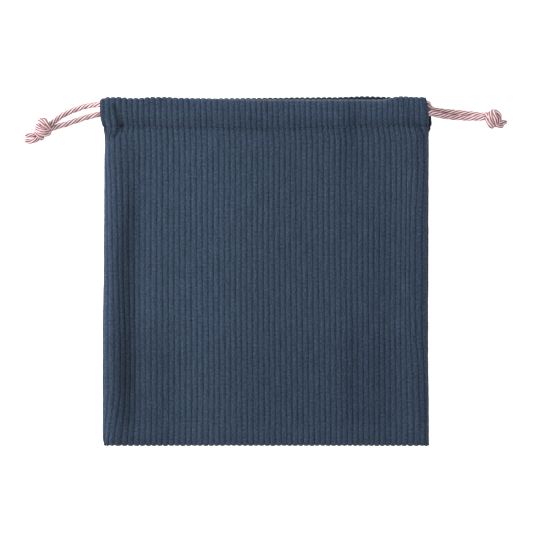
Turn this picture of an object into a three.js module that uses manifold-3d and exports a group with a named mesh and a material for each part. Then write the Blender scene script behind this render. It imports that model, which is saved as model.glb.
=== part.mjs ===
// Kinchaku drawstring pouch in wide-wale corduroy, empty and lying flat on its back.
// Millimetres: X across the pouch, Y towards its mouth, Z up. The origin is on the surface below its middle.
import * as THREE from 'three';
import { mergeVertices } from 'three/addons/utils/BufferGeometryUtils.js';
import Module from 'manifold-3d';

const wasm = await Module();
wasm.setup();

// Outline of the sewn pouch
const pouchWidth = 199;
const pouchHeight = 213;
const casingDepth = 17.6;
const casingFlare = 2.5;
const slitReach = 4.4;

// Cloth: a flat ground with raised wales
const groundThickness = 0.6;
const waleHeight = 0.9;
const walePitch = 3.4;
const waleSlope = 0.95;
const plainLayer = 1.3;

// Loft of the empty pouch
const sideRoll = 13;
const bodyLoft = 12.4;
const loftBelowCasing = 1;
const backRise = 5.5;
const seamGap = 0.3;
const allowanceWidth = 10;
const mouthGap = 5;
const mouthEndGap = 1;
const valleyDepth = 1.3;
const valleyFromSide = 10.5;
const valleySpread = 5;

// Cords and what holds them
const cordDiameter = 3;
const cordClearance = 0.3;
const casingShoulder = 3.4;
const foldRound = 5.5;
const hemBelowStitch = 4.5;
const slitNotch = 9.5;
const knotLong = 5;
const knotWide = 2.9;
const tailDiameter = 3;

const halfWidth = pouchWidth / 2;
const halfHeight = pouchHeight / 2;
const clothThickness = groundThickness + waleHeight;
const channelHeight = cordDiameter + 2 * cordClearance;
const stitchY = halfHeight - casingDepth;
const slitY = stitchY - slitReach;
const casingThickness = clothThickness + channelHeight + plainLayer;
const backHem = backRise - casingThickness;
const frontHem = mouthGap - backHem;

// Each panel is described by heights measured outwards from the seam plane, where the two panels meet.
const frontPanel = {
  outward: 1,
  hem: frontHem,
  casing: frontHem + casingThickness,
  stitch: frontHem + plainLayer + clothThickness,
  loft: bodyLoft - backRise,
  loftTop: bodyLoft - backRise + loftBelowCasing,
  valley: valleyDepth,
  sag: mouthGap - mouthEndGap,
};
const backPanel = {
  outward: -1,
  hem: backHem,
  casing: backRise,
  stitch: backRise,
  loft: backRise,
  loftTop: backRise,
  valley: 0,
  sag: 0,
};

const clothColour = '#384657';
const cordColour = '#c9a6a9';

// A quarter ellipse: 0 at the edge, 1 from the given depth inwards.
function edgeRoll(distance, depth) {
  const inside = THREE.MathUtils.clamp(distance / depth, 0, 1);
  return Math.sqrt(1 - (1 - inside) ** 2);
}

// The soft valley that runs up the front beside its left side fold, deeper towards the bottom.
function valleyAt(panel, x, y) {
  const across = (x + halfWidth - valleyFromSide) / valleySpread;
  const along = 1 - 0.65 * THREE.MathUtils.smoothstep(y, -0.5 * halfHeight, 0.6 * halfHeight);
  return panel.valley * along * Math.exp(-across * across);
}

// Point on the body of a panel: a flat lofted face that rolls down to the seam plane at its sides and bottom.
function bodyPoint(panel, x, y, inset) {
  const depth = sideRoll - inset;
  const along = THREE.MathUtils.smoothstep(y, 0, slitY);
  const loft = THREE.MathUtils.lerp(panel.loft, panel.loftTop, along);
  const rise = loft - inset - seamGap / 2 - valleyAt(panel, x, y);
  const roll = edgeRoll(halfWidth - inset - Math.abs(x), depth) * edgeRoll(halfHeight - inset + y, depth);
  return new THREE.Vector3(x, y, backRise + panel.outward * (seamGap / 2 + rise * roll));
}

// Point on a casing: its section keeps its shape across the pouch, flares at its ends and sinks there.
function casingPoint(panel, x, y, height) {
  const share = Math.abs(x) / halfWidth;
  const flare = Math.sign(x) * casingFlare * share ** 6;
  const sink = panel.sag * share ** 4;
  return new THREE.Vector3(x + flare, y, backRise + panel.outward * (height - sink));
}

// Columns across the wales: the groove between two wales, then the two edges of each wale's flat crown.
function waleColumns() {
  const wales = 2 * Math.round((pouchWidth / walePitch - 1) / 2) + 1;
  const pitch = pouchWidth / wales;
  const columns = [{ x: -halfWidth, groove: false }];
  for (let wale = 0; wale < wales; wale += 1) {
    const start = wale * pitch - halfWidth;
    columns.push({ x: start + waleSlope, groove: false });
    columns.push({ x: start + pitch - waleSlope, groove: false });
    columns.push({ x: start + pitch, groove: wale < wales - 1 });
  }
  return columns;
}

// Every third groove, for the skins that have no wales.
function plainColumns(columns) {
  return columns.filter((column, index) => index % 9 === 0 || index === columns.length - 1);
}

// Presses the grooves of a block of rows into the cloth, along its normal, but not past the seam plane.
function pressGrooves(rows, columns, outward) {
  const pressed = rows.map((row) => row.map((point) => point.clone()));
  for (let r = 0; r < rows.length; r += 1) {
    const below = rows[Math.max(r - 1, 0)];
    const above = rows[Math.min(r + 1, rows.length - 1)];
    for (let c = 1; c < columns.length - 1; c += 1) {
      if (!columns[c].groove) {
        continue;
      }
      const across = rows[r][c + 1].clone().sub(rows[r][c - 1]);
      const along = above[c].clone().sub(below[c]);
      const normal = across.cross(along).normalize().multiplyScalar(outward);
      pressed[r][c].addScaledVector(normal, -waleHeight);
      const height = outward * (pressed[r][c].z - backRise);
      pressed[r][c].z = backRise + outward * Math.max(height, seamGap / 2);
    }
  }
  return pressed;
}

// Joins rows of points into the faces between them. Rows may have unlike numbers of points.
function joinRows(first, second, addFace) {
  let i = 0;
  let j = 0;
  while (i < first.length - 1 || j < second.length - 1) {
    const nextFirst = i < first.length - 1 ? first[i + 1].at : Infinity;
    const nextSecond = j < second.length - 1 ? second[j + 1].at : Infinity;
    if (nextFirst <= nextSecond) {
      addFace(first[i], first[i + 1], second[j]);
      i += 1;
    } else {
      addFace(first[i], second[j + 1], second[j]);
      j += 1;
    }
  }
}

// A closed solid from a loop of rows that run from left to right. The cap says which rows close each end.
function loopSolid(rows, capFaces) {
  const positions = [];
  const corners = rows.map((row) => row.points.map((point, index) => {
    positions.push(point.x, point.y, point.z);
    return { index: positions.length / 3 - 1, at: row.columns[index].x };
  }));
  const faces = [];
  corners.forEach((row, r) => {
    joinRows(row, corners[(r + 1) % corners.length], (a, b, c) => faces.push([a.index, b.index, c.index]));
  });
  capFaces.forEach(([a, b, c]) => {
    faces.push([corners[a][0].index, corners[b][0].index, corners[c][0].index]);
    faces.push([corners[a].at(-1).index, corners[c].at(-1).index, corners[b].at(-1).index]);
  });
  const geometry = new THREE.BufferGeometry();
  geometry.setAttribute('position', new THREE.Float32BufferAttribute(positions, 3));
  geometry.setIndex(faces.flat());
  return toSolid(geometry);
}

// Six times the signed volume: negative when the faces point inwards.
function signedVolume(vertices, triangles) {
  const corner = (index) => new THREE.Vector3().fromArray(vertices, 3 * index);
  let total = 0;
  for (let t = 0; t < triangles.length; t += 3) {
    const [a, b, c] = [corner(triangles[t]), corner(triangles[t + 1]), corner(triangles[t + 2])];
    total += a.dot(b.cross(c));
  }
  return total;
}

function toSolid(geometry) {
  geometry.deleteAttribute('normal');
  geometry.deleteAttribute('uv');
  const merged = mergeVertices(geometry, 1e-4);
  const vertProperties = Float32Array.from(merged.attributes.position.array);
  const triVerts = Uint32Array.from(merged.index.array);
  if (signedVolume(vertProperties, triVerts) < 0) {
    triVerts.reverse();
  }
  return new wasm.Manifold(new wasm.Mesh({ numProp: 3, vertProperties, triVerts }));
}

function toGeometry(solid) {
  const mesh = solid.getMesh();
  const geometry = new THREE.BufferGeometry();
  geometry.setAttribute('position', new THREE.Float32BufferAttribute(mesh.vertProperties, 3));
  geometry.setIndex(Array.from(mesh.triVerts));
  geometry.computeVertexNormals();
  return geometry;
}

// Section of a casing from its stitch line over the top fold and down its hem, as [y, height] points.
function casingSection(panel) {
  const stitchHem = panel.stitch - clothThickness - plainLayer;
  const middle = (panel.casing + panel.hem) / 2;
  const shoulder = [stitchY + casingShoulder, panel.casing];
  const outer = [
    [stitchY, panel.stitch],
    ...(panel.casing > panel.stitch ? [shoulder] : []),
    [halfHeight - foldRound, panel.casing],
    [halfHeight - 0.3 * foldRound, panel.casing - clothThickness / 2],
    [halfHeight, middle],
  ];
  const inner = [
    [halfHeight - 0.3 * foldRound, panel.hem + plainLayer / 2],
    [halfHeight - foldRound, panel.hem],
    [stitchY + casingShoulder, panel.hem],
    [stitchY, stitchHem],
    [stitchY - hemBelowStitch, stitchHem],
    [stitchY - hemBelowStitch, stitchHem + plainLayer - seamGap],
    [stitchY - clothThickness / 2, stitchHem + plainLayer],
  ];
  return { outer, inner };
}

// The tunnel that the two cords run through, open at both ends of the casing.
function casingTunnel(panel) {
  const top = panel.casing - clothThickness;
  const bottom = panel.hem + plainLayer;
  const pinch = panel.stitch - clothThickness;
  const section = [
    [stitchY + 1, pinch + panel.outward * seamGap / 2],
    [stitchY + casingShoulder + cordClearance, top],
    [halfHeight - 0.8 * foldRound, top],
    [halfHeight - clothThickness, (top + bottom) / 2],
    [halfHeight - 0.8 * foldRound, bottom],
    [stitchY + casingShoulder, bottom],
  ];
  const columns = [];
  for (let step = -10; step <= 10; step += 1) {
    columns.push({ x: step * 0.1 * (halfWidth + clothThickness) });
  }
  const rows = section.map(([y, height]) => ({
    columns,
    points: columns.map((column) => casingPoint(panel, column.x, y, height)),
  }));
  return loopSolid(rows, polygonFaces(section));
}

// Triangles that fill a section, each with its corners in the order of the section's points.
function polygonFaces(section) {
  const outline = section.map(([y, height]) => new THREE.Vector2(y, height));
  return THREE.ShapeUtils.triangulateShape(outline, []).map((face) => face.sort((a, b) => a - b));
}

// The cut through the hem and fold at one end of a casing, where the cord of the other side turns.
function slitCut(panel, side) {
  const low = stitchY + 1.6;
  const high = halfHeight - 3;
  const deep = panel.hem + plainLayer + channelHeight / 2 - panel.sag;
  const tall = casingThickness;
  const block = new THREE.BoxGeometry(2 * slitNotch, high - low, tall);
  const height = deep + cordClearance * 2 - tall / 2;
  const x = side * (halfWidth + casingFlare);
  block.translate(x, (low + high) / 2, backRise + panel.outward * height);
  return toSolid(block);
}

// Seam allowances, lying inside the pouch along its bottom and up both sides to the slits.
function allowanceStrip(panel) {
  const outerX = halfWidth - clothThickness / 2;
  const outerY = halfHeight - clothThickness * 0.8;
  const innerX = halfWidth - allowanceWidth;
  const innerY = halfHeight - allowanceWidth;
  const strip = new THREE.Shape();
  strip.moveTo(-outerX, -outerY);
  strip.lineTo(outerX, -outerY);
  strip.lineTo(outerX, slitY);
  strip.lineTo(innerX, slitY);
  strip.lineTo(innerX, -innerY);
  strip.lineTo(-innerX, -innerY);
  strip.lineTo(-innerX, slitY);
  strip.lineTo(-outerX, slitY);
  strip.closePath();
  const geometry = new THREE.ExtrudeGeometry(strip, { depth: plainLayer, bevelEnabled: false });
  const low = panel.outward > 0 ? seamGap / 2 : -seamGap / 2 - plainLayer;
  geometry.translate(0, 0, backRise + low);
  return toSolid(geometry);
}

// Distances from the bottom fold to the rows of a panel's body, and the rows further up its face.
function bodyRows(panel) {
  const rolls = [0, 2, 7, sideRoll];
  const face = panel.valley > 0 ? [-0.3 * halfHeight, 0.35 * halfHeight, slitY] : [slitY];
  const outer = [...rolls.map((distance) => distance - halfHeight), ...face];
  const shrink = (sideRoll - clothThickness) / sideRoll;
  const inner = [...rolls.map((distance) => distance * shrink + clothThickness - halfHeight), ...face];
  return { outer, inner };
}

// One panel: corduroy body, casing folded to the inside and stitched, tunnel, slits and seam allowances.
function panelSolid(panel) {
  const ribbed = waleColumns();
  const plain = plainColumns(ribbed);
  const body = bodyRows(panel);
  const section = casingSection(panel);
  const bodySkin = body.outer.map((y) => ribbed.map((column) => bodyPoint(panel, column.x, y, 0)));
  const casingSkin = section.outer.map(([y, height]) => (
    ribbed.map((column) => casingPoint(panel, column.x, y, height))));
  const skin = pressGrooves([...bodySkin, ...casingSkin], ribbed, panel.outward);
  const hem = section.inner.map(([y, height]) => (
    plain.map((column) => casingPoint(panel, column.x, y, height))));
  const innerShare = (halfWidth - clothThickness) / halfWidth;
  const lining = body.inner.map((y) => (
    plain.map((column) => bodyPoint(panel, column.x * innerShare, y, clothThickness)))).reverse();
  const rows = [
    ...skin.map((points) => ({ columns: ribbed, points })),
    ...[...hem, ...lining].map((points) => ({ columns: plain, points })),
  ];
  let solid = loopSolid(rows, panelEnds(rows.length, body.outer.length, section));
  solid = solid.add(allowanceStrip(panel));
  solid = solid.subtract(casingTunnel(panel));
  for (const side of [-1, 1]) {
    solid = solid.subtract(slitCut(panel, side));
  }
  return solid;
}

// Faces that close a panel at one side: pairs of body rows up to the casing, then the casing's section.
function panelEnds(rowCount, bodyCount, section) {
  const faces = [];
  for (let row = 0; row < bodyCount; row += 1) {
    const [inner, innerNext] = [rowCount - 1 - row, rowCount - 2 - row];
    faces.push([row, row + 1, innerNext]);
    faces.push([row, innerNext, inner]);
  }
  const outline = [...section.outer, ...section.inner];
  return [...faces, ...polygonFaces(outline).map((face) => face.map((corner) => corner + bodyCount))];
}

// A cord's route counts its steps by the chosen points, so that its turns have as many as its straight runs.
class CordRoute extends THREE.CatmullRomCurve3 {
  getUtoTmapping(share) {
    return share;
  }
}

function tubeSolid(points, diameter, stepsPerPoint) {
  const route = new CordRoute(points.map((point) => new THREE.Vector3(...point)), false, 'centripetal');
  const section = new THREE.Shape();
  const sides = 8;
  for (let side = 0; side < sides; side += 1) {
    const angle = (side + 0.5) * 2 * Math.PI / sides;
    const corner = [diameter / 2 * Math.cos(angle), diameter / 2 * Math.sin(angle)];
    if (side === 0) {
      section.moveTo(...corner);
    } else {
      section.lineTo(...corner);
    }
  }
  section.closePath();
  const steps = (points.length - 1) * stepsPerPoint;
  return toSolid(new THREE.ExtrudeGeometry(section, { steps, extrudePath: route, bevelEnabled: false }));
}

// Left cord: knot, front casing, turn at the right slit, back casing, knot.
const leftCordRoute = [
  [-135.2, 89.2, 4.2], [-132.6, 90.9, 3], [-129.5, 93.2, 1.9], [-125, 96.5, 1.6], [-118.8, 99.3, 1.7],
  [-112.5, 101.2, 3.6], [-107, 101.9, 6.8], [-102, 101.8, 9.6], [-96, 101.6, 11], [-88, 101.5, 12],
  [-76, 101.5, 13.1], [-50, 101.5, 14.2], [0, 101.5, 14.5], [50, 101.5, 14.2], [76, 101.5, 13.1],
  [88, 101.5, 12], [93, 101.5, 11.4], [96.1, 101.1, 10.7], [98.3, 99.6, 9.3], [99.1, 97.6, 7.4],
  [98.3, 95.6, 5.3], [96.1, 94.1, 3.9], [92, 93.5, 3.3], [84, 93.5, 3.3], [50, 93.5, 3.3], [0, 93.5, 3.3],
  [-50, 93.5, 3.3], [-84, 93.5, 3.3], [-92, 93.6, 3.3], [-97.5, 94.8, 3.3], [-102.4, 95.8, 3.2],
  [-108.8, 95.2, 2], [-116.5, 93.4, 1.6], [-122.3, 91, 1.6], [-127.4, 89.2, 1.8], [-131.5, 87.7, 3],
  [-134.6, 86.8, 4.2],
];

// Right cord: knot, back casing, turn at the left slit, front casing, knot.
const rightCordRoute = [
  [137.2, 96, 4.2], [133, 96.9, 3.1], [126.3, 97.9, 1.7], [117.4, 98.9, 1.6], [108, 99.5, 2.1],
  [102.6, 100.6, 3.2], [97, 101.4, 3.3], [90, 101.5, 3.3], [50, 101.5, 3.3], [0, 101.5, 3.3],
  [-50, 101.5, 3.3], [-84, 101.5, 3.3], [-92, 101.5, 3.3], [-96.1, 101.1, 3.9], [-98.3, 99.6, 5.3],
  [-99.1, 97.6, 7.4], [-98.3, 95.6, 9.3], [-96.1, 94.1, 10.7], [-93, 93.6, 11.4], [-88, 93.5, 12],
  [-76, 93.5, 13.1], [-50, 93.5, 14.2], [0, 93.5, 14.5], [50, 93.5, 14.2], [76, 93.5, 13.1],
  [88, 93.5, 12], [94, 94, 11.3], [98.5, 95.2, 10.6], [102.1, 96, 9.6], [106, 96, 7.4], [110, 95.3, 4.6],
  [114.5, 94.6, 2.4], [120, 94.2, 1.7], [127, 94.2, 1.7], [133, 93.6, 3.1], [137.2, 93.4, 4.2],
];

// Where each knot lies, the turn of its long axis about Z in degrees, and the routes of its two tails.
const leftKnotPlace = {
  middle: [-137.3, 87.4, 4.5],
  turn: -70,
  tails: [
    [[-138.5, 87.5, 4], [-141.5, 86.2, 2.4], [-145, 84.9, 1.7], [-148.8, 83.4, 1.6]],
    [[-137.5, 84, 4], [-139.6, 81.9, 2.4], [-143, 80.7, 1.7], [-147.5, 79.9, 1.6]],
  ],
};
const rightKnotPlace = {
  middle: [139.6, 94, 4.5],
  turn: 78,
  tails: [
    [[140, 95, 4], [142.8, 94, 2.5], [145.5, 93, 1.7], [149.1, 91.9, 1.6]],
    [[140, 92, 4], [142.4, 90.6, 2.4], [144.4, 89.8, 1.7], [146.6, 88.7, 1.6]],
  ],
};

// Rings of cord round a plump core, laid like the wraps of an overhand knot. Grown by a gap, it clears the cord.
function knotWraps(place, gap) {
  const core = new THREE.SphereGeometry(1, 10, 6);
  core.scale(knotLong + gap, knotWide + gap, knotWide + gap);
  const wraps = [
    { offset: 0.36 * knotLong, lean: 12 },
    { offset: -0.3 * knotLong, lean: -20 },
  ];
  const pieces = [core, ...wraps.map((wrap) => {
    const ring = new THREE.TorusGeometry(knotWide, cordDiameter / 2 + gap, 6, 11);
    ring.rotateY(Math.PI / 2);
    ring.rotateZ(THREE.MathUtils.degToRad(wrap.lean));
    ring.translate(wrap.offset, 0, 0);
    return ring;
  })];
  return pieces.map((piece) => {
    piece.rotateZ(THREE.MathUtils.degToRad(place.turn));
    piece.translate(...place.middle);
    return toSolid(piece);
  }).reduce((whole, piece) => whole.add(piece));
}

function knotSolid(place) {
  const tails = place.tails.map((tail) => tubeSolid(tail, tailDiameter, 1));
  return tails.reduce((whole, tail) => whole.add(tail), knotWraps(place, 0));
}

function cordSolid(route, place) {
  return tubeSolid(route, cordDiameter, 1).subtract(knotWraps(place, cordClearance));
}

function addPiece(group, name, solid, colour, roughness) {
  const material = new THREE.MeshStandardMaterial({ color: colour, roughness, metalness: 0 });
  const piece = new THREE.Mesh(toGeometry(solid), material);
  piece.name = name;
  group.add(piece);
}

const pouch = new THREE.Group();
addPiece(pouch, 'front_panel', panelSolid(frontPanel), clothColour, 0.95);
addPiece(pouch, 'back_panel', panelSolid(backPanel), clothColour, 0.95);
addPiece(pouch, 'left_cord', cordSolid(leftCordRoute, leftKnotPlace), cordColour, 0.8);
addPiece(pouch, 'right_cord', cordSolid(rightCordRoute, rightKnotPlace), cordColour, 0.8);
addPiece(pouch, 'left_knot', knotSolid(leftKnotPlace), cordColour, 0.8);
addPiece(pouch, 'right_knot', knotSolid(rightKnotPlace), cordColour, 0.8);

export default pouch;
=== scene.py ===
import math

import bpy
import numpy as np
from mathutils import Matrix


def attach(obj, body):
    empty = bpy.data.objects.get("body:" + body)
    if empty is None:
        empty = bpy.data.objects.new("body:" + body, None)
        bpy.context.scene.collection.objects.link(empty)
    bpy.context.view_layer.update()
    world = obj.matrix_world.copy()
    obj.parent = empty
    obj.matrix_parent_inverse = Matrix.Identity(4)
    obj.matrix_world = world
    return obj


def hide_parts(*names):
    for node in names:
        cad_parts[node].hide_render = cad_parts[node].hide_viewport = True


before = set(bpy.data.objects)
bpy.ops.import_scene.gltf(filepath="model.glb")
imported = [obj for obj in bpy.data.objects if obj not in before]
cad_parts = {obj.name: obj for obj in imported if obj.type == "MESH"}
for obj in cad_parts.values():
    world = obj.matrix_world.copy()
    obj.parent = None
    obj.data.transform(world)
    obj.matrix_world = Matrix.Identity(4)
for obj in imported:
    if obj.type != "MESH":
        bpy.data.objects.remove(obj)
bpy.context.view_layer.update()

# Table and studio.
# A flat white laminate, matt and glowing a little, under two soft lamps and an even light from all round. The
# stronger lamp stands low at the left, so that the wales show. The camera looks straight down.
MM = 0.001
PIXEL = 0.6154 * MM
PHOTO_SIDE = 533
PHOTO_MIDDLE = (265.75, 271.5)


def linear(red, green, blue):
    """Screen colour of 0 to 255 as linear light: the sRGB curve, channel by channel."""
    shares = np.array([red, green, blue]) / 255
    curved = ((shares + 0.055) / 1.055) ** 2.4
    return (*np.where(shares <= 0.04045, shares / 12.92, curved), 1.0)


def new_material(name, **values):
    """A material with one Principled shader, and the given constant values on the shader's own sockets."""
    material = bpy.data.materials.new(name)
    material.use_nodes = True
    shader = material.node_tree.nodes["Principled BSDF"]
    for socket, value in values.items():
        shader.inputs[socket.replace("_", " ")].default_value = value
    return material, shader


def new_piece(name, points, faces, material, smooth=True):
    """A mesh object at the origin, from an array of points and a list or array of faces."""
    mesh = bpy.data.meshes.new(name)
    mesh.from_pydata(np.asarray(points).reshape(-1, 3).tolist(), [], [tuple(face) for face in faces])
    mesh.polygons.foreach_set("use_smooth", [smooth] * len(mesh.polygons))
    mesh.materials.append(material)
    mesh.update()
    piece = bpy.data.objects.new(name, mesh)
    bpy.context.scene.collection.objects.link(piece)
    return piece


TABLE_SIDE = 9.0
TABLE_LIGHT = 0.88
SKY_LIGHT = 0.52
table_material, _ = new_material(
    "white_laminate",
    Base_Color=(0.86, 0.86, 0.86, 1.0),
    Roughness=0.9,
    Emission_Color=(1.0, 1.0, 1.0, 1.0),
    Emission_Strength=TABLE_LIGHT,
)
half_table = TABLE_SIDE / 2
table_corners = [(-half_table, -half_table, 0), (half_table, -half_table, 0),
                 (half_table, half_table, 0), (-half_table, half_table, 0)]
table = new_piece("table", table_corners, [(0, 1, 2, 3)], table_material, smooth=False)

world = bpy.data.worlds.new("studio")
world.use_nodes = True
world.node_tree.nodes["Background"].inputs["Color"].default_value = (1.0, 1.0, 1.0, 1.0)
world.node_tree.nodes["Background"].inputs["Strength"].default_value = SKY_LIGHT
bpy.context.scene.world = world


def soft_lamp(name, place, size, power):
    """A square area lamp at a place, aimed at the middle of the table."""
    lamp = bpy.data.lights.new(name, "AREA")
    lamp.shape = "SQUARE"
    lamp.size = size
    lamp.energy = power
    holder = bpy.data.objects.new(name, lamp)
    bpy.context.scene.collection.objects.link(holder)
    x, y, z = place
    reach = math.hypot(x, y)
    holder.location = place
    holder.rotation_euler = (math.atan2(reach, z), 0, math.atan2(x, -y))


soft_lamp("left_lamp", (-1.35, 0.45, 0.75), size=0.6, power=21.5)
soft_lamp("right_lamp", (1.2, 0.1, 1.0), size=0.7, power=2.8)

CAMERA_HEIGHT = 0.92
FOCUS_HEIGHT = 10 * MM
SENSOR_WIDTH = 36
camera_data = bpy.data.cameras.new("camera")
camera_data.sensor_width = SENSOR_WIDTH
camera_data.lens = SENSOR_WIDTH * (CAMERA_HEIGHT - FOCUS_HEIGHT) / (PHOTO_SIDE * PIXEL)
camera = bpy.data.objects.new("camera", camera_data)
photo_centre = PHOTO_SIDE / 2
camera_x = (photo_centre - PHOTO_MIDDLE[0]) * PIXEL
camera_y = (PHOTO_MIDDLE[1] - photo_centre) * PIXEL
camera.location = (camera_x, camera_y, CAMERA_HEIGHT)
bpy.context.scene.collection.objects.link(camera)
bpy.context.scene.camera = camera
bpy.context.scene.view_settings.view_transform = "Standard"


# Twisted cords.
# Two limp cotton cords of three plies, pink and white yarns laid together. Each runs through both casings and
# turns at the far slit, so that pulling the two pairs apart shuts the mouth.
CORD_DIAMETER = 3.6 * MM
CORD_LAY = 21.5 * MM
CORD_PLIES = 3
CORD_STEP = 0.4 * MM
PLY_RADIUS = 0.33 * CORD_DIAMETER
PLY_OFFSET = CORD_DIAMETER / 2 - PLY_RADIUS
CORD_SIDES = 48
YARN_CREASE = 0.08
CREASE_SPREAD = 0.16
TIP_LEAST = 0.03
POINTS_A_SPAN = 24

# Routes in millimetres, from the knot out to the casing, through it, round the far slit and back.
left_cord_route = [
    (-134.3, 90.1, 4.6), (-131.9, 92.5, 3.2), (-129.2, 94.9, 2.2), (-125.6, 97.3, 1.9),
    (-121.1, 99.4, 1.8), (-116.6, 101.1, 2.2), (-111.3, 102.5, 4.0), (-106.1, 102.9, 6.8),
    (-101.9, 103.0, 9.4), (-97.0, 102.6, 10.8), (-88.0, 101.8, 11.7), (-76.0, 101.3, 12.9),
    (-50.0, 101.2, 14.1), (0.0, 101.2, 14.4), (50.0, 101.2, 14.1), (76.0, 101.2, 13.0),
    (86.0, 101.2, 12.1), (91.0, 101.2, 11.5), (93.8, 100.9, 10.7), (95.8, 99.6, 9.3), (96.5, 97.6, 7.4),
    (95.8, 95.6, 5.3), (93.8, 94.1, 4.0), (90.0, 93.5, 3.4), (82.0, 93.5, 3.4), (50.0, 93.5, 3.4),
    (0.0, 93.5, 3.4), (-50.0, 93.5, 3.4), (-84.0, 93.7, 3.4), (-92.0, 95.0, 3.4), (-97.5, 97.0, 3.4),
    (-102.1, 97.6, 3.4), (-106.5, 96.8, 2.9), (-109.9, 96.1, 2.1), (-115.5, 94.4, 1.8),
    (-120.0, 92.9, 1.8), (-124.5, 91.3, 1.8), (-129.0, 90.1, 2.0), (-132.7, 88.6, 3.2),
    (-134.6, 87.4, 4.6),
]
right_cord_route = [
    (136.7, 96.6, 4.6), (132.8, 97.0, 3.6), (127.4, 97.8, 2.4), (118.4, 98.8, 1.9), (110.3, 99.5, 2.0),
    (105.6, 100.0, 3.2), (101.9, 101.2, 4.4), (100.1, 104.2, 4.4), (97.0, 103.6, 3.7), (93.0, 102.5, 3.4),
    (86.0, 101.5, 3.4), (50.0, 101.5, 3.4), (0.0, 101.5, 3.4), (-50.0, 101.5, 3.4), (-83.0, 101.5, 3.4),
    (-90.5, 101.5, 3.4), (-94.6, 101.1, 4.0), (-96.8, 99.6, 5.3), (-97.6, 97.6, 7.4), (-96.8, 96.2, 9.2),
    (-94.6, 95.5, 10.4), (-91.5, 95.3, 11.2), (-87.0, 95.3, 11.8), (-76.0, 95.3, 12.8),
    (-50.0, 95.3, 13.9), (0.0, 95.3, 14.2), (50.0, 95.3, 13.9), (76.0, 95.3, 12.8), (88.0, 95.4, 11.7),
    (94.0, 96.0, 11.0), (98.5, 96.8, 10.4), (102.2, 97.5, 9.2), (106.1, 96.8, 6.8), (111.1, 96.2, 3.6),
    (118.4, 95.6, 1.9), (126.1, 95.2, 2.8), (132.0, 95.1, 4.4), (136.5, 95.1, 5.8),
]


def bump_at(value, middle, spread):
    """A bell of height 1 at middle, which falls to 1/e one spread away."""
    return np.exp(-(((value - middle) / spread) ** 2))


def travelled_along(points):
    """Distance travelled along a line of points, 0 at the first."""
    return np.concatenate([[0], np.cumsum(np.linalg.norm(np.diff(points, axis=0), axis=1))])


def smooth_line(points, step):
    """A centripetal Catmull-Rom curve through the points, resampled to even steps along its length."""
    points = np.asarray(points, float)
    ends = [2 * points[0] - points[1]], [2 * points[-1] - points[-2]]
    p = np.concatenate([ends[0], points, ends[1]])
    knots = np.concatenate([[0], np.cumsum(np.sqrt(np.linalg.norm(np.diff(p, axis=0), axis=1)))])
    share = np.linspace(0, 1, POINTS_A_SPAN, endpoint=False)
    t = knots[1:-2, None] + share * np.diff(knots)[1:-1, None]

    def between(low, high, first, last):
        """Straight mix of two points or curves, over the stretch of knots first to last."""
        a, b = knots[first][:, None, None], knots[last][:, None, None]
        return ((b - t[..., None]) * low + (t[..., None] - a) * high) / (b - a)

    i = np.arange(len(points) - 1)
    p0, p1, p2, p3 = (p[i + k][:, None, :] for k in range(4))
    a1, a2, a3 = between(p0, p1, i, i + 1), between(p1, p2, i + 1, i + 2), between(p2, p3, i + 2, i + 3)
    b1, b2 = between(a1, a2, i, i + 2), between(a2, a3, i + 1, i + 3)
    curve = np.concatenate([between(b1, b2, i + 1, i + 2).reshape(-1, 3), points[-1:]])
    travelled = travelled_along(curve)
    even = np.linspace(0, travelled[-1], max(2, round(travelled[-1] / step) + 1))
    return np.stack([np.interp(even, travelled, curve[:, k]) for k in range(3)], axis=1)


def carried_frames(line):
    """Tangents of a line, and two normals that turn with it as little as they can."""
    tangents = np.gradient(line, axis=0)
    tangents /= np.linalg.norm(tangents, axis=1, keepdims=True)
    normals = np.empty_like(line)
    seed = np.cross(tangents[0], (0.0, 0.0, 1.0))
    normals[0] = seed / np.linalg.norm(seed)
    for ring in range(1, len(line)):
        carried = normals[ring - 1] - tangents[ring] * np.dot(normals[ring - 1], tangents[ring])
        normals[ring] = carried / np.linalg.norm(carried)
    return tangents, normals, np.cross(tangents, normals)


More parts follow.
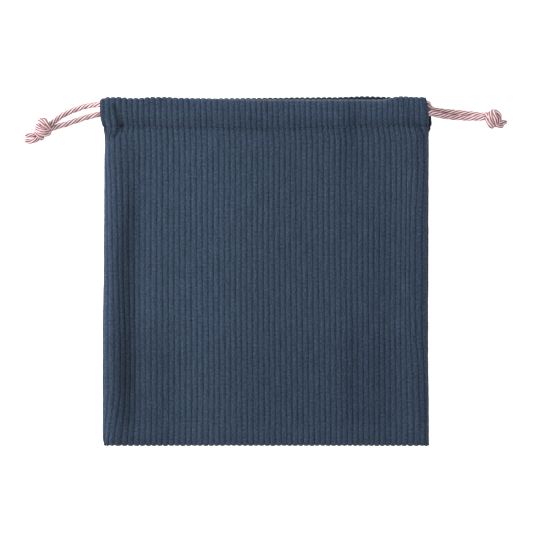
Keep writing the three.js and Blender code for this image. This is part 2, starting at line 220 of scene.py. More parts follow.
def twisted_rope(route, lay=CORD_LAY, start_turn=0.0, squeeze=1.0):
    """Line, points, faces, masks and UV of a laid rope along a route given in millimetres.

    The section is the outline of three round plies side by side: the ray from the middle leaves a ply at
    offset * cos(a) + sqrt(radius^2 - (offset * sin(a))^2), with a the angle from the ply's own middle. It
    turns once in each lay length, never goes below the table, and shrinks to a rounded tip at each end. The
    masks are ply, 1 on the plies' crowns and 0 between, and top, 1 on the rope's upper side and 0 below."""
    line = smooth_line(np.array(route) * MM, CORD_STEP)
    line[:, 2] = np.maximum(line[:, 2], CORD_DIAMETER / 2 * squeeze)
    _, side, up = carried_frames(line)
    travelled = np.arange(len(line)) * CORD_STEP
    theta = np.linspace(0, 2 * np.pi, CORD_SIDES, endpoint=False)
    from_ply = (theta + np.pi / CORD_PLIES) % (2 * np.pi / CORD_PLIES) - np.pi / CORD_PLIES
    reach = PLY_OFFSET * np.cos(from_ply) + np.sqrt(PLY_RADIUS**2 - (PLY_OFFSET * np.sin(from_ply)) ** 2)
    reach = reach * (1 - YARN_CREASE * bump_at(from_ply, 0, CREASE_SPREAD))
    mask = (reach - reach.min()) / (reach.max() - reach.min())
    turn = theta[None, :] - 2 * np.pi * travelled[:, None] / lay + start_turn
    from_end = np.minimum(np.arange(len(line)), np.arange(len(line))[::-1]) * CORD_STEP
    tip = np.sqrt(1 - (1 - np.clip(from_end / (0.5 * CORD_DIAMETER), TIP_LEAST, 1)) ** 2)
    radius = reach[None, :] * tip[:, None] * squeeze
    outward = np.cos(turn)[..., None] * side[:, None, :] + np.sin(turn)[..., None] * up[:, None, :]
    rings = line[:, None, :] + radius[..., None] * outward
    # top: how far each point faces up; the cord's material uses it for painted shade on the underside.
    top = 0.5 + 0.5 * outward[..., 2]
    masks = {"ply": np.broadcast_to(mask, radius.shape).ravel(), "top": top.ravel()}
    ring, corner = np.meshgrid(np.arange(len(line) - 1), np.arange(CORD_SIDES), indexing="ij")
    first = ring * CORD_SIDES + corner
    second = ring * CORD_SIDES + (corner + 1) % CORD_SIDES
    walls = np.stack([first, second, second + CORD_SIDES, first + CORD_SIDES], axis=-1)
    last_ring = (len(line) - 1) * CORD_SIDES
    caps = [list(range(CORD_SIDES))[::-1], [last_ring + k for k in range(CORD_SIDES)]]
    uv = np.stack(np.broadcast_arrays(theta[None, :] / (2 * np.pi), travelled[:, None] / lay), axis=-1)
    return line, rings.reshape(-1, 3), walls.reshape(-1, 4).tolist() + caps, masks, uv.reshape(-1, 2)


def joined(parts):
    """One set of points, faces, masks and UVs from several."""
    starts = np.cumsum([0] + [len(part[0]) for part in parts])
    points = np.concatenate([part[0] for part in parts])
    faces = [[corner + start for corner in face] for start, part in zip(starts, parts) for face in part[1]]
    masks = {name: np.concatenate([part[2][name] for part in parts]) for name in parts[0][2]}
    uv = np.concatenate([part[3] for part in parts])
    return points, faces, masks, uv


def add_marks(piece, masks, uv, wraps=True):
    """Stores masks by name for each point, and a UV for each corner of each face, on a mesh.

    On a surface that wraps round, the faces that close the turn count on from 1 and not back to 0."""
    mesh = piece.data
    for name, mask in masks.items():
        marks = mesh.attributes.new(name, "FLOAT", "POINT")
        marks.data.foreach_set("value", np.asarray(mask, np.float32))
    layer = mesh.uv_layers.new(name="surface")
    corners = np.empty(len(mesh.loops), np.int32)
    mesh.loops.foreach_get("vertex_index", corners)
    starts = np.empty(len(mesh.polygons), np.int32)
    mesh.polygons.foreach_get("loop_start", starts)
    counts = np.diff(np.append(starts, len(corners)))
    places = np.asarray(uv, np.float32)[corners]
    across = places[:, 0]
    widest = np.repeat(np.maximum.reduceat(across, starts), counts)
    closing = (widest - across > 0.5) & (widest < 1) & (np.repeat(counts, counts) == 4)
    places[:, 0] = np.where(closing & wraps, across + 1, across)
    layer.data.foreach_set("uv", places.ravel())


def node(tree, kind, links=(), **values):
    """A shader node with values on its sockets or properties, and links given as (input, output socket)."""
    made = tree.nodes.new(kind)
    for name, value in values.items():
        if hasattr(made, name):
            setattr(made, name, value)
        else:
            made.inputs[name.replace("_", " ")].default_value = value
    for socket, source in links:
        tree.links.new(made.inputs[socket], source)
    return made


def ramp(tree, source, stops):
    """A colour ramp on a mask: stops are pairs of place and linear colour."""
    made = node(tree, "ShaderNodeValToRGB", [("Fac", source)])
    elements = made.color_ramp.elements
    while len(elements) < len(stops):
        elements.new(0.5)
    for element, (place, colour) in zip(elements, stops):
        element.position = place
        element.color = colour
    return made.outputs["Color"]


def calculate(tree, operation, first, second=None):
    """One arithmetic node; each input is a socket or a number."""
    made = tree.nodes.new("ShaderNodeMath")
    made.operation = operation
    for socket, value in zip(made.inputs, (first, second)):
        if isinstance(value, bpy.types.NodeSocket):
            tree.links.new(socket, value)
        elif value is not None:
            socket.default_value = value
    return made.outputs[0]


def mixed(tree, share, first, second, blend="MIX"):
    """A colour mix node; each input is a socket, a number or a colour.

    Its inputs 0, 6 and 7 are the share and the two colours, and output 2 is the mixed colour."""
    made = node(tree, "ShaderNodeMix", data_type="RGBA", blend_type=blend)
    for place, value in ((0, share), (6, first), (7, second)):
        if isinstance(value, bpy.types.NodeSocket):
            tree.links.new(made.inputs[place], value)
        else:
            made.inputs[place].default_value = value
    return made.outputs[2]


YARNS_A_TURN = 2 * CORD_PLIES
YARN_WANDER = 1.6


def cord_material():
    """Pink and white yarns with fine stripes: deep pink between the plies, partly the yarns' own and partly
    painted shade in the crevices, pale on their crowns, and painted shade below.

    The stripes are a cosine of the turn round the cord times the count of yarns, and wander with the
    fibres."""
    material, shader = new_material("twisted_cotton", Roughness=0.85, Specular_IOR_Level=0.25)
    tree = material.node_tree
    ply = node(tree, "ShaderNodeAttribute", attribute_name="ply").outputs["Fac"]
    place = node(tree, "ShaderNodeUVMap", uv_map="surface").outputs["UV"]
    parts = node(tree, "ShaderNodeSeparateXYZ", [("Vector", place)])
    stretched = node(tree, "ShaderNodeMapping", [("Vector", place)], Scale=(9.0, 6.0, 1.0)).outputs["Vector"]
    fibres = node(tree, "ShaderNodeTexNoise", [("Vector", stretched)], Scale=2.0, Detail=4.0).outputs["Fac"]
    turned = calculate(tree, "MULTIPLY", parts.outputs["X"], 2 * math.pi * YARNS_A_TURN)
    wander = calculate(tree, "MULTIPLY", calculate(tree, "SUBTRACT", fibres, 0.5), YARN_WANDER)
    wave = calculate(tree, "COSINE", calculate(tree, "ADD", turned, wander))
    yarn = calculate(tree, "ADD", calculate(tree, "MULTIPLY", wave, 0.5), 0.5)
    # Partly the yarns' own pink and white, partly painted shade: darker, deeper pink towards the crevices
    # between the plies.
    crown = ramp(tree, ply, [(0.0, linear(140, 40, 58)), (0.15, linear(190, 108, 120)),
                             (0.4, linear(240, 203, 205)), (1.0, linear(248, 238, 238))])
    line = ramp(tree, yarn, [(0.0, (1.0, 1.0, 1.0, 1.0)), (0.5, (1.0, 0.98, 0.98, 1.0)),
                             (0.68, (0.66, 0.28, 0.35, 1.0)), (0.85, (0.27, 0.04, 0.08, 1.0))])
    striped = mixed(tree, 1.0, crown, line, "MULTIPLY")
    # Painted shade: the cord's colour is darkened on its underside and lower flanks, by the top mark.
    top = node(tree, "ShaderNodeAttribute", attribute_name="top").outputs["Fac"]
    under = ramp(tree, top, [(0.3, (0.3, 0.18, 0.2, 1.0)), (0.55, (0.54, 0.36, 0.4, 1.0)),
                             (0.72, (0.92, 0.84, 0.86, 1.0)), (0.85, (1.0, 1.0, 1.0, 1.0))])
    tree.links.new(shader.inputs["Base Color"], mixed(tree, 1.0, striped, under, "MULTIPLY"))
    bump = node(tree, "ShaderNodeBump", [("Height", fibres)], Strength=0.4, Distance=0.12 * MM)
    tree.links.new(shader.inputs["Normal"], bump.outputs["Normal"])
    return material


cotton = cord_material()


def add_cord(name, node_name, route):
    """One cord from knot to knot."""
    line, points, faces, masks, uv = twisted_rope(route)
    piece = new_piece(name, points, faces, cotton)
    add_marks(piece, masks, uv)
    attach(piece, "root")
    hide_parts(node_name)


# Knots.
# The two ends of each cord are tied together in one tight overhand knot and cut off short. The wraps are the
# same cord, squeezed thinner by the pull, and the two tails lie on the table. Strands are in millimetres.
KNOT_LAY = 1.25 * CORD_LAY
KNOT_SQUEEZE = 0.9
STRAND_TURN = 1.1

# Left knot: both strands fan out over the upper left, pass behind, and come round in front as two bands.
left_knot_strands = [
    [(-133.5, 90.8, 3.4), (-134.4, 89.3, 4.4), (-135.0, 88.3, 6.0), (-136.5, 89.5, 7.2),
     (-138.0, 91.7, 7.0), (-139.5, 93.5, 5.4), (-140.0, 93.9, 3.4), (-139.0, 92.2, 1.7),
     (-136.8, 88.7, 1.6), (-134.6, 86.7, 3.0), (-134.5, 85.4, 5.2), (-136.2, 84.8, 7.0),
     (-138.9, 85.7, 7.4), (-140.6, 87.5, 5.8), (-141.4, 88.4, 3.6), (-141.0, 87.3, 1.8),
     (-141.1, 85.8, 1.7), (-143.6, 84.9, 1.9), (-146.7, 84.6, 1.7), (-149.9, 84.2, 1.7)],
    [(-133.5, 88.5, 3.4), (-134.3, 88.2, 4.6), (-134.6, 89.0, 6.4), (-135.5, 91.2, 6.9),
     (-136.4, 93.2, 5.8), (-137.4, 94.1, 3.6), (-137.7, 92.2, 1.7), (-136.2, 89.0, 1.7),
     (-134.3, 87.9, 4.0), (-134.7, 86.8, 6.6), (-137.0, 86.8, 7.9), (-139.8, 88.7, 7.0),
     (-141.1, 90.3, 4.6), (-141.7, 89.4, 2.2), (-141.9, 87.3, 3.0), (-141.3, 85.6, 5.4),
     (-140.1, 83.8, 6.0), (-138.8, 82.9, 4.6), (-139.0, 82.8, 2.6), (-141.2, 82.7, 1.7),
     (-143.7, 81.3, 1.8), (-146.3, 80.8, 1.7), (-150.1, 81.4, 1.7)],
]
# Right knot: the strands wrap across the pair, and a last turn goes round the outside on the right.
right_knot_strands = [
    [(134.9, 96.9, 4.2), (137.3, 97.3, 4.6), (139.7, 98.4, 5.0), (141.9, 99.2, 5.2), (143.9, 97.4, 5.8),
     (144.7, 94.8, 4.6), (143.5, 92.8, 2.4), (140.8, 93.1, 1.7), (138.3, 95.6, 2.0), (136.9, 97.4, 3.8),
     (137.0, 95.2, 6.2), (137.9, 91.9, 6.6), (139.7, 89.8, 4.4), (141.7, 91.9, 1.9), (144.7, 92.4, 2.2),
     (147.6, 92.6, 1.8), (150.1, 92.9, 1.7)],
    [(134.9, 94.8, 4.2), (137.3, 94.8, 4.4), (139.5, 94.7, 4.4), (140.8, 97.1, 3.2), (140.3, 98.9, 4.6),
     (138.9, 97.0, 6.8), (138.6, 93.7, 7.5), (139.7, 90.8, 6.4), (140.7, 90.3, 4.0), (142.3, 93.4, 1.8),
     (142.6, 97.2, 2.4), (141.9, 98.8, 4.6), (141.0, 96.7, 7.2), (141.7, 93.7, 7.6), (141.8, 91.4, 5.4),
     (142.8, 90.9, 3.0), (145.1, 90.7, 1.8), (147.8, 89.8, 1.7)],
]


def add_knot(name, node_name, strands):
    """Both strands of a knot with their tails, as one piece. Each strand's plies start at their own turn."""
    parts = []
    for nth, strand in enumerate(strands):
        turn = STRAND_TURN * nth
        parts.append(twisted_rope(strand, lay=KNOT_LAY, start_turn=turn, squeeze=KNOT_SQUEEZE)[1:])
    points, faces, masks, uv = joined(parts)
    piece = new_piece(name, points, faces, cotton)
    add_marks(piece, masks, uv)
    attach(piece, "root")
    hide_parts(node_name)
    return piece


left_tie = add_knot("left_tie", "left_knot", left_knot_strands)
right_tie = add_knot("right_tie", "right_knot", right_knot_strands)
add_cord("left_rope", "left_cord", left_cord_route)
add_cord("right_rope", "right_cord", right_cord_route)


# Pouch panels.
# Two panels of wide-wale cotton corduroy, seamed inside out along the sides and the bottom, then turned. The
# top of each is folded in and stitched down as a casing, open at both ends. The seam stops below it, at a
# slit. Places and heights are in millimetres.
WALE_PITCH = 3.4093
WALE_HEIGHT = 0.52
CLOTH_BACKING = 0.6
SEAM_HEIGHT = 5.5
ROLL_WIDTH = 13.0
CASING_ROLL = 3.2
FOLD_RADIUS = 0.8
ALLOWANCE = 8.0
SEAM_CLEARANCE = 0.85
WALE_PHASES = (0.0, 0.14, 0.32, 0.5, 0.68, 0.86)
WALE_ROUNDNESS = 0.4
BACKING_STEP = 6


def soft_step(low, high, value):
    """0 below low, 1 above high, and a smooth cubic between."""
    share = np.clip((value - low) / (high - low), 0, 1)
    return share * share * (3 - 2 * share)


def through(value, places, amounts):
    """A smooth line through a few given amounts: cubic steps between neighbours."""
    value = np.asarray(value, float)
    result = np.full(value.shape, float(amounts[0]))
    for low, high, before, after in zip(places, places[1:], amounts, amounts[1:]):
        result = result + (after - before) * soft_step(low, high, value)
    return result


def crease(x, y, start, end, width):
    """A bell of height 1 along a straight line from start to end: exp(-(distance / width)^2)."""
    run_x, run_y = end[0] - start[0], end[1] - start[1]
    share = np.clip(((x - start[0]) * run_x + (y - start[1]) * run_y) / (run_x**2 + run_y**2), 0, 1)
    gap_x = x - start[0] - share * run_x
    gap_y = y - start[1] - share * run_y
    return np.exp(-(gap_x**2 + gap_y**2) / width**2)


# Each sway: how far right in millimetres, its middle and spread across, its middle and spread up the pouch.
WALE_SWAYS = [
    (2.7, -95, 9.5, -54, 34), (-0.35, -74, 8, -10, 60), (0.55, -42, 14, -55, 40), (-0.7, 26, 22, 45, 70),
    (0.75, 20, 60, -110, 70), (0.65, 76, 9, 48, 36), (-0.85, 94, 7, -2, 34), (1.0, 93, 14, -95, 26),
    (-0.8, -89, 5, 78, 9), (-0.7, -75, 35, -110, 10), (-0.8, -90, 9, -112, 18), (1.3, -90, 7, 90, 5.5),
    (-0.6, -86, 9, 82, 2.6), (0.35, 5, 60, 94, 6),
]
# Beside the side seams the wales sway on their own: heights up the pouch, and how far right at each.
LEFT_SEAM_SWAY = (
    (-107, -96, -85, -74, -19, 15, 48, 69, 82, 88),
    (-2.0, -1.2, 0.3, 1.1, 0.9, 0.2, -0.6, -1.4, -1.4, 0.0),
)
RIGHT_SEAM_SWAY = (
    (-98, -61, -51, -41, -21, 38, 50, 62, 78, 88),
    (0.5, 0.2, -0.4, -1.3, -1.8, -1.8, -0.9, -0.5, -0.8, 0.0),
)


def wale_drift(x, y):
    """How far the wales stand to the right of an even comb, in millimetres.

    They crowd at both sides by the cube of the distance from the middle, lean as they leave the casing, and
    sway gently by the sum of a few listed bells."""
    crowding = 2.1 - 1.5 * (np.abs(x) / 98) ** 3
    casing = through(x, (-90, -20, 10, 60, 90), (-0.85, -0.85, -1.2, -1.7, -1.9)) * soft_step(79, 93, y)
    sways = sum(far * bump_at(x, middle, spread) * bump_at(y, level, height)
                for far, middle, spread, level, height in WALE_SWAYS)
    return crowding + casing + sways


def arc_table(flatness=2.6, rise=0.45):
    """The rolled edge's profile: plan share and height share for each share of its arc, from the edge in.

    The height share is sqrt(1 - (1 - plan)^flatness); rise is the height over the width, which sets the
    arc."""
    plan = 1 - np.cos(np.linspace(0, np.pi / 2, 200))
    height = np.sqrt(1 - (1 - plan) ** flatness)
    arc = travelled_along(np.stack([plan, rise * height], axis=1))
    return arc / arc[-1], plan, height, arc[-1]


ARC_SHARE, PLAN_SHARE, HEIGHT_SHARE, ARC_PER_WIDTH = arc_table()


def rolled(distance, width):
    """Plan share and height share of a cloth that rolls over an edge, by its arc distance from that edge."""
    share = np.clip(distance / (width * ARC_PER_WIDTH), 0, 1)
    return np.interp(share, ARC_SHARE, PLAN_SHARE), np.interp(share, ARC_SHARE, HEIGHT_SHARE)


def turned_under(distance, slack):
    """How far in and down a cloth goes past an edge: a quarter circle, then level, by the slack's share."""
    quarter = FOLD_RADIUS * np.pi / 2
    angle = np.clip(distance, 0, quarter) / FOLD_RADIUS
    inward = FOLD_RADIUS * (1 - np.cos(angle)) + slack * np.clip(distance - quarter, 0, None)
    return inward, FOLD_RADIUS * np.sin(angle)


def comb_columns(left_end, right_end):
    """Places of the columns over an even comb of wales, and the share of the wale's height at each.

    The share is |sin(pi * phase)| to the power of the roundness, with phase 0 in a groove and 0.5 on a
    crown."""
    first = math.floor(left_end / WALE_PITCH)
    last = math.ceil(right_end / WALE_PITCH)
    phases = (np.arange(first, last)[:, None] + np.array(WALE_PHASES)[None, :]).ravel()
    phases = np.append(phases, last)
    return phases * WALE_PITCH, np.abs(np.sin(np.pi * phases)) ** WALE_ROUNDNESS


# Where the seams lie on the flat cloth, and heights up the pouch.
LEFT_EDGE = -103.6
RIGHT_EDGE = 100.3
PANEL_BOTTOM = -107.0
TOP_OF_BODY = 82.0
HEM_END_Y = 84.2
STITCH_Y = 88.4
CASING_FOOT_Y = 93.0
CASING_TOP = 102.0
FOLD_REACH = 3.7
FOLD_DROP = 2.5
HEM_NOTCH = 9.0
HALF_WIDTH = 99.5
CASING_END_DROP = 1.6
# Rows of the face have no arc distance from the bottom seam: they carry this number, past the roll's end.
FACE = 99.0

front_panel_sizes = {
    "sign": 1,
    "crown": lambda y: through(y, (-90, 50, 84), (6.2, 7.0, 8.6)),
    "stitch": 9.0,
    "casing": 11.4,
    "hem_stitch": 7.7,
    "hem_end": 6.6,
    "left": lambda y: through(
        y, (-107, -103, -30, 0, 65, 78, 84, 88, 91, 94, 98, 104, 106),
        (-99.4, -100.2, -100.1, -99.5, -99.2, -98.8, -98.9, -99.6, -100.5, -101.0, -101.4, -101.4, -100.8)),
    "right": lambda y: through(
        y, (-106, -80, -60, 84, 90, 97, 101, 106),
        (100.3, 100.2, 99.8, 100.1, 99.9, 99.7, 99.3, 98.1)),
    "top": lambda x: through(
        x, (-101, -97, -92, -83, -77, -70, -60, -52, -40, 0, 70, 82, 100),
        (0.0, 0.9, 0.9, 0.1, 0.1, 0.6, 0.6, 0.1, 0.1, -0.6, -0.6, 1.3, 1.0)),
    "sink": 4.0,
    "fold_rise": lambda x: through(x, (-60, -20, 72, 84), (0.8, -0.5, -0.5, 0.3)),
}
back_panel_sizes = {
    "sign": -1,
    "crown": lambda y: 4.6 + 0 * y,
    "stitch": 4.3,
    "casing": 4.6,
    "hem_stitch": 3.0,
    "hem_end": 2.9,
    "left": lambda y: through(y, (-100, 65, 84, 88, 106), (-98.7, -98.2, -98.4, -99.6, -99.6)),
    "right": lambda y: through(
        y, (-100, 80, 84, 88, 91, 96, 103, 106),
        (99.4, 99.5, 100.2, 102.0, 102.6, 102.1, 100.2, 99.2)),
    "top": lambda x: through(x, (-100, -50, -22, 40, 62, 75, 86), (-0.4, -0.1, 1.2, 1.7, 2.3, 1.9, 0.2)),
    "sink": 0.0,
    "fold_rise": lambda x: 0.5 + 0 * x,
}

BODY_ROWS = 140
BOTTOM_ROLL_ROWS = 12
MOUTH_FOLD_ROWS = 13
ALLOWANCE_ROWS = (-9.0, -6.5, -4.0, -2.2, -1.25, -0.9, -0.6, -0.3)
STITCH_ROWS = (0.5, 1.0, 1.6, 2.3, 3.2)
HEM_ROWS = (100.5, 99, 96.5, 93.5, 91.2, 89.8, 89.0, STITCH_Y, 87.6, 86.0, HEM_END_Y)


def casing_part(y):
    """How far a height up the pouch belongs to the casing: 0 on the body, 1 just above the stitches."""
    return float(soft_step(80.5, 89.5, y))


def panel_rows(sizes):
    """The rows of a panel from the bottom allowance's cut edge, up the face, over the top and down the hem.

    Gives for each row: arc distance past the bottom edge, height up the pouch, height of the casing's line
    over the seam, share of casing, and share of hem."""
    casing, stitch = sizes["casing"], sizes["stitch"]
    rows = [(past, PANEL_BOTTOM, stitch, 0, 0) for past in ALLOWANCE_ROWS]
    for share in np.linspace(0, 1, BOTTOM_ROLL_ROWS) ** 1.2:
        rows.append((share * ROLL_WIDTH * ARC_PER_WIDTH, PANEL_BOTTOM, stitch, 0, 0))
    for y in np.linspace(PANEL_BOTTOM + ROLL_WIDTH, TOP_OF_BODY, BODY_ROWS)[1:]:
        rows.append((FACE, y, stitch, casing_part(y), 0))
    below_stitch = np.linspace(TOP_OF_BODY, STITCH_Y, 9)[1:]
    above_stitch = STITCH_Y + np.array(STITCH_ROWS)
    for y in np.concatenate([below_stitch, above_stitch, np.linspace(CASING_FOOT_Y, CASING_TOP, 7)]):
        rise = soft_step(STITCH_Y - 0.5, STITCH_Y + 8, y) ** 0.8
        rows.append((FACE, y, stitch + (casing - stitch) * rise, casing_part(y), 0))
    for turn in np.linspace(0, np.pi, MOUTH_FOLD_ROWS)[1:]:
        y = CASING_TOP + FOLD_REACH * math.sin(turn)
        rows.append((FACE, y, casing + FOLD_DROP * (math.cos(turn) - 1), 1, turn / np.pi))
    hem_heights = (sizes["hem_end"], sizes["hem_end"], sizes["hem_stitch"], casing - 2 * FOLD_DROP)
    for y in HEM_ROWS:
        rows.append((FACE, y, float(through(y, (HEM_END_Y, 87.6, STITCH_Y, 93.5), hem_heights)), 1, 1))
    return np.array(rows)


def face_relief(x, y, sizes):
    """Soft hollows and swells of a panel's face, in millimetres. They fade out at the seams and stitching."""
    if sizes["sign"] < 0:
        return 0.12 * np.sin(x / 19 + 0.7) * np.sin(y / 27 + 1.1)
    left_valley = -2.2 * bump_at(x, -80, 7.5) * through(y, (-100, -70, 0, 60, 84), (0.6, 1.0, 0.9, 0.4, 0.1))
    right_valley = -1.3 * bump_at(x, 76, 14) * through(y, (-100, 30, 80), (1.0, 0.8, 0.3))
    middle = 0.8 * bump_at(x, -8, 42)
    folds = -0.6 * bump_at(x, 49, 3.4) * bump_at(y, 55, 45) - 0.3 * bump_at(x, 21, 3.0) * bump_at(y, 60, 20)
    swell = 0.14 * np.sin(x / 11 + 1.0 + 0.6 * np.sin(y / 29)) * np.sin(y / 30 + 0.4)
    fade = soft_step(-105, -92, y) * (1 - 0.8 * soft_step(78, 88, y))
    return (left_valley + right_valley + middle + folds + swell) * fade


COMB_SEED = 7


def loose_comb(wale_number, y):
    """The wander of each wale by itself: across in millimetres, and in height as a share of it.

    Both are sums of slow waves of given lengths, whose phases come from a fixed seed."""
    lengths = (2.3, 5.1, 9.7, 1.9, 4.3, 11.0)
    random = np.random.default_rng(COMB_SEED)
    count = int(wale_number.max() - wale_number.min()) + 2
    phase = random.uniform(0, 2 * np.pi, (len(lengths), count))
    index = np.floor(wale_number - wale_number.min()).astype(int)
    waves = [np.sin(y / length + phase[nth][index]) for nth, length in enumerate(lengths)]
    across = 0.05 * waves[0] + 0.08 * waves[1] + 0.11 * waves[2]
    higher = 0.05 * waves[3] + 0.06 * waves[4] + 0.06 * waves[5]
    return across, higher


def casing_relief(x, y):
    """Soft hollows of a casing between the lumps of the cords in it, in millimetres, none of them upwards."""
    lump = 0.5 + 0.5 * np.sin(x / 9 + 2 * np.sin(x / 23))
    return -0.2 * lump * bump_at(y, 96, 5) - 0.15 * bump_at(y, 97.5, 1.6)


def end_creases(x, y, sizes):
    """Puckers where the front's casing ends: their height in millimetres, and the painted shade put into
    them.

    At the left end a valley runs down into the stitching and back out below it, with a lighter fold beside
    it; two short valleys stand at the right end."""
    if sizes["sign"] < 0:
        return 0 * x, 0 * x
    valley = crease(x, y, (-92.9, 101.9), (-88.4, 89.3), 1.7)
    below = crease(x, y, (-88.4, 88.8), (-92.6, 83.0), 1.9)
    fold = crease(x, y, (-98.6, 93.4), (-95.0, 88.6), 1.3)
    right = crease(x, y, (86.1, 103.1), (87.9, 88.5), 0.8) + crease(x, y, (92.6, 90.3), (95.0, 86.0), 1.1)
    height = 0.35 * fold - 0.3 * valley - 0.6 * below - 0.25 * right
    # darker is painted shade in the valleys, and painted light (less than none) on the fold.
    darker = 0.42 * valley + 0.42 * below + 0.25 * right - 0.35 * fold
    return height, darker


def painted_shading_bells(x, y, sizes):
    """Painted light and shade on the pile, a factor on its colour, 1 for plain cloth: a sum of given bells
    and bands.

    Painted shade darkens the hollow at the left, a streak and the hollow at the right, and painted light
    brightens the broad crown. On the back only the slit's right side gets painted shade."""
    if sizes["sign"] < 0:
        return 1 - 0.4 * soft_step(95, 99, x) * soft_step(80, 86, y)
    hollow_depth = through(y, (-106, -62, 0, 30, 60, 78), (0.5, 1.0, 0.9, 0.95, 0.5, 0.1))
    hollow = -0.34 * bump_at(x, through(y, (-20, 60), (-87.5, -82.0)), 7.0) * hollow_depth
    lower_left = -0.13 * bump_at(x, -66, 14) * soft_step(-20, -45, y)
    edge = 0.16 * bump_at(x, -97, 2.5) * soft_step(86, 78, y)
    crown = 0.13 * bump_at(x, -45, 26)
    streak = -0.1 * bump_at(x, 52, 5) * through(y, (-106, -70, 0, 40, 80), (0.8, 2.0, 0.5, 1.2, 2.3))
    right_hollow = -0.1 * bump_at(x, 71, 9) * through(y, (-106, 20, 60), (1.0, 0.9, 0.0))
    right_crown = 0.09 * bump_at(x, 90, 5) * bump_at(y, 45, 24)
    casing = through(x, (-95, -40, 60), (-0.09, -0.05, 0.1)) * soft_step(86, 96, y)
    upper = 0.04 * soft_step(10, 60, y)
    band = -0.08 * bump_at(y, 88, 6)
    lower = -0.07 * soft_step(-25, -55, y) + 0.06 * soft_step(-90, -98, y)
    _, darker = end_creases(x, y, sizes)
    hollows = hollow + lower_left + streak + right_hollow + band
    return 1 + hollows + edge + crown + right_crown + casing + upper + lower - darker


def seamed_side(side, column, y, seam_x, roll_width, slack):
    """The cloth near one side seam, with side -1 at the left and 1 at the right.

    Gives where the flat face starts on the cloth, the places across, the rolled edge's plan and height
    shares, and how far in and down the allowance is turned. Inside the roll the cloth goes from the seam
    to the flat face by the plan share, and sways by 4 * sway * plan * (1 - plan) on the way."""
    edge, sway = (LEFT_EDGE, LEFT_SEAM_SWAY) if side < 0 else (RIGHT_EDGE, RIGHT_SEAM_SWAY)
    inner = edge - side * roll_width * ARC_PER_WIDTH
    plan, height = rolled(np.clip(side * (edge - column), 0, None), roll_width)
    run = inner + wale_drift(inner, y) - seam_x
    x = seam_x + (run * plan + 4 * through(y, *sway) * plan * (1 - plan))
    inward, down = turned_under(np.clip(side * (column - edge), 0, None), slack)
    return inner, x, plan, height, inward, down


def panel_plan(sizes):
    """A panel's cloth seen from above, as named arrays of rows by columns that its heights and shade need.

    The columns are an even comb on the flat cloth. It drifts sideways, rolls in at the side seams and at
    the bottom, and goes up over the mouth's fold and down inside as the hem, whose ends are notched."""
    comb, wale = comb_columns(LEFT_EDGE - ALLOWANCE, RIGHT_EDGE + ALLOWANCE)
    past, row_y, casing_height, casing_share, hem_share = (panel_rows(sizes)[:, k, None] for k in range(5))
    column = comb[None, :]

    bottom_plan, bottom_height = rolled(np.clip(past, 0, None), ROLL_WIDTH)
    under_in, under_down = turned_under(np.clip(-past, 0, None), 1.0)
    y = row_y + np.where(past < FACE, ROLL_WIDTH * bottom_plan + under_in, 0)

    roll_width = ROLL_WIDTH + (CASING_ROLL - ROLL_WIDTH) * casing_share
    notch = np.where(hem_share >= 1, HEM_NOTCH * soft_step(101.5, 100.0, y), 0)
    slack = (1 - 0.8 * casing_share) * soft_step(-9, 2, past)
    left_inner, left_x, left_plan, left_height, left_in, left_down = seamed_side(
        -1, column, y, sizes["left"](y) + notch, roll_width, slack)
    right_inner, right_x, _, right_height, right_in, right_down = seamed_side(
        1, column, y, sizes["right"](y) - notch, roll_width, slack)
    flat = np.clip(column, left_inner, right_inner)
    x = flat + wale_drift(flat, y)
    x = np.where(column < left_inner, left_x, x)
    x = np.where(column > right_inner, right_x, x)
    x = x + left_in - right_in

    y = y + 0 * x
    y = y + sizes["top"](x) * soft_step(90, CASING_TOP, y) * (1 - soft_step(0.6, 1, hem_share))
    y = y + through(x, (-95, 0, 90), (0.3, -1.3, 1.1)) * bump_at(y, STITCH_Y, 6) * soft_step(70, 84, y)
    return {
        "x": x, "y": y, "row_y": row_y, "column": column, "wale": wale[None, :],
        "casing_height": casing_height, "casing_share": casing_share, "hem_share": hem_share,
        "bottom_height": np.where(past < FACE, bottom_height, 1), "side_height": left_height * right_height,
        "left_plan": left_plan, "right_height": right_height,
        "down": np.maximum(np.maximum(left_down, right_down), under_down),
        "past_end": np.clip(LEFT_EDGE - column, 0, None) + np.clip(column - RIGHT_EDGE, 0, None),
        "stitched": bump_at(row_y, STITCH_Y, 0.7) * (hem_share < 0.1),
    }


def ground_height(plan, sizes):
    """Height over the table of the cloth's ground, the surface that the wales stand on.

    The body goes from the seam's foot to the crown by the side's and the bottom's height shares, and the
    casing's own line takes over by its share. That line sinks by the fourth power of the distance from the
    pouch's middle, and drops at its ends. The allowances dip by what they are turned under."""
    x, y, casing_share, hem_share = plan["x"], plan["y"], plan["casing_share"], plan["hem_share"]
    foot = SEAM_CLEARANCE + FOLD_RADIUS
    crown = sizes["crown"](y) + face_relief(x, y, sizes)
    pucker, _ = end_creases(x, y, sizes)
    body = foot + (crown + pucker - foot) * plan["side_height"] * plan["bottom_height"]
    sink = sizes["sink"] * np.clip(np.abs(x) / HALF_WIDTH, 0, 1.03) ** 4
    outer_share = 1 - soft_step(0.1, 0.6, hem_share)
    casing = plan["casing_height"] - sink - (1 - plan["side_height"]) * CASING_END_DROP * outer_share
    casing = casing + (casing_relief(x, y) + pucker) * outer_share * casing_share
    height = body * (1 - casing_share) + casing * casing_share
    dip = plan["down"] * (1 - 0.3 * casing_share) * (1 - 0.8 * soft_step(0.4, 0.9, hem_share))
    return SEAM_HEIGHT + sizes["sign"] * (height - dip)


